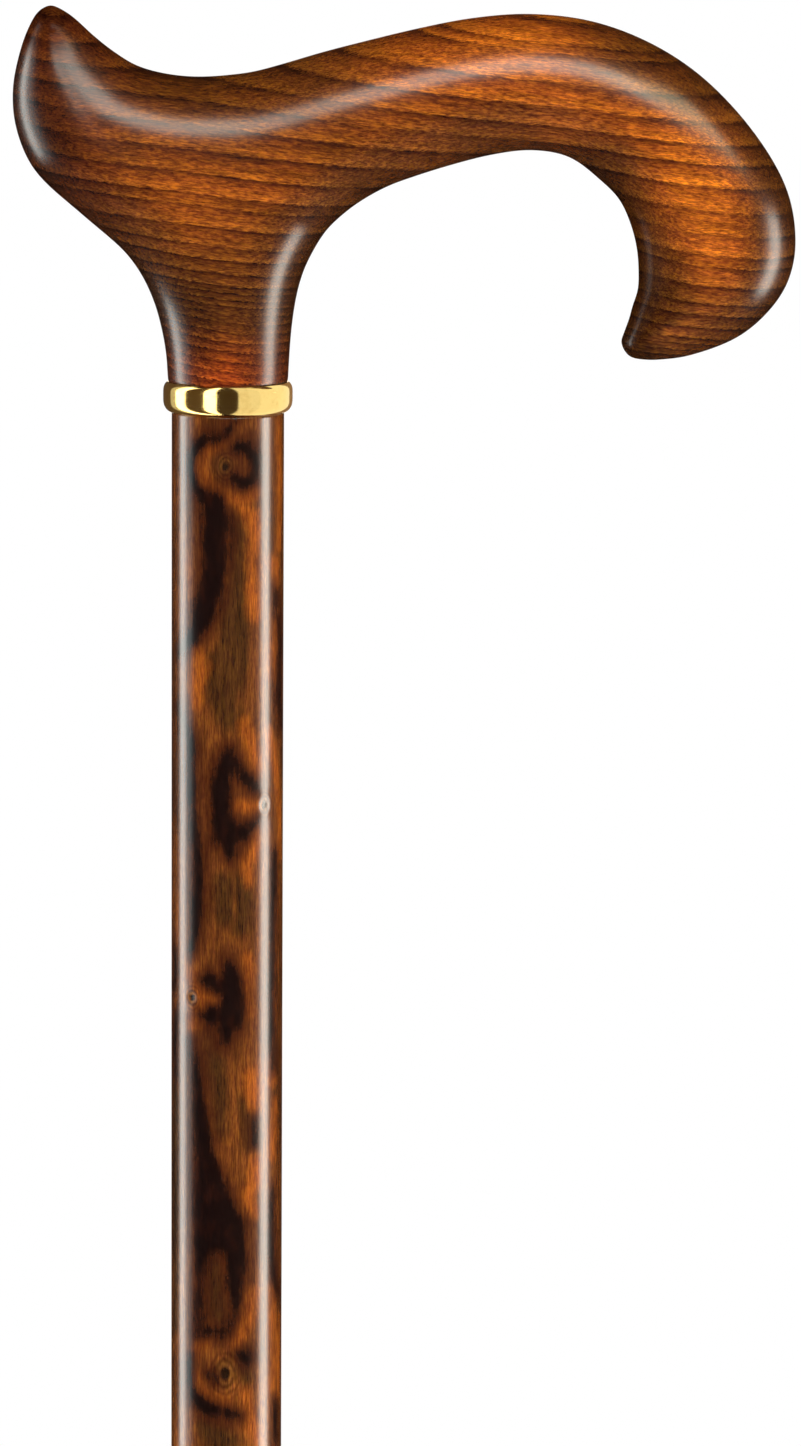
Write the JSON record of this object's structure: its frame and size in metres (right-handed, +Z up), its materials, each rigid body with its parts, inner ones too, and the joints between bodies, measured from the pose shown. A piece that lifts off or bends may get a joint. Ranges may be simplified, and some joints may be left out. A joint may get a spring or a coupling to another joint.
{
  "type": "derby handle walking cane",
  "caption": "Walking cane with a derby handle in flamed beech, a brass collar, a knotty hardwood shaft and a push-on rubber ferrule.",
  "frame": {"origin": "centre of the ferrule's sole, on the shaft's axis", "axes": "+Z up along the shaft, +X towards the hook of the handle, -X towards its tail, Y across the handle"},
  "size_m": [0.1408, 0.034, 0.925],
  "materials": {
    "flamed_beech": "flamed and stained beech, growth rings brought out dark, satin lacquer",
    "polished_brass": "turned and polished",
    "knotty_hardwood": "peeled knotty stick, scorched and stained, gloss lacquer",
    "screw_steel": "bright zinc plated",
    "ferrule_rubber": "moulded black rubber, dull",
    "washer_steel": "stamped steel"
  },
  "bodies": {
    "cane": {"handle": "flamed_beech", "collar": "polished_brass", "shaft": "knotty_hardwood", "dowel_screw": "screw_steel"},
    "foot": {"ferrule": "ferrule_rubber", "ferrule_washer": "washer_steel"}
  },
  "joints": [
    {"name": "ferrule_pull", "type": "slide", "parent": "cane", "child": "foot", "axis": [0, 0, -1], "range_m": [0, 0.036]}
  ]
}
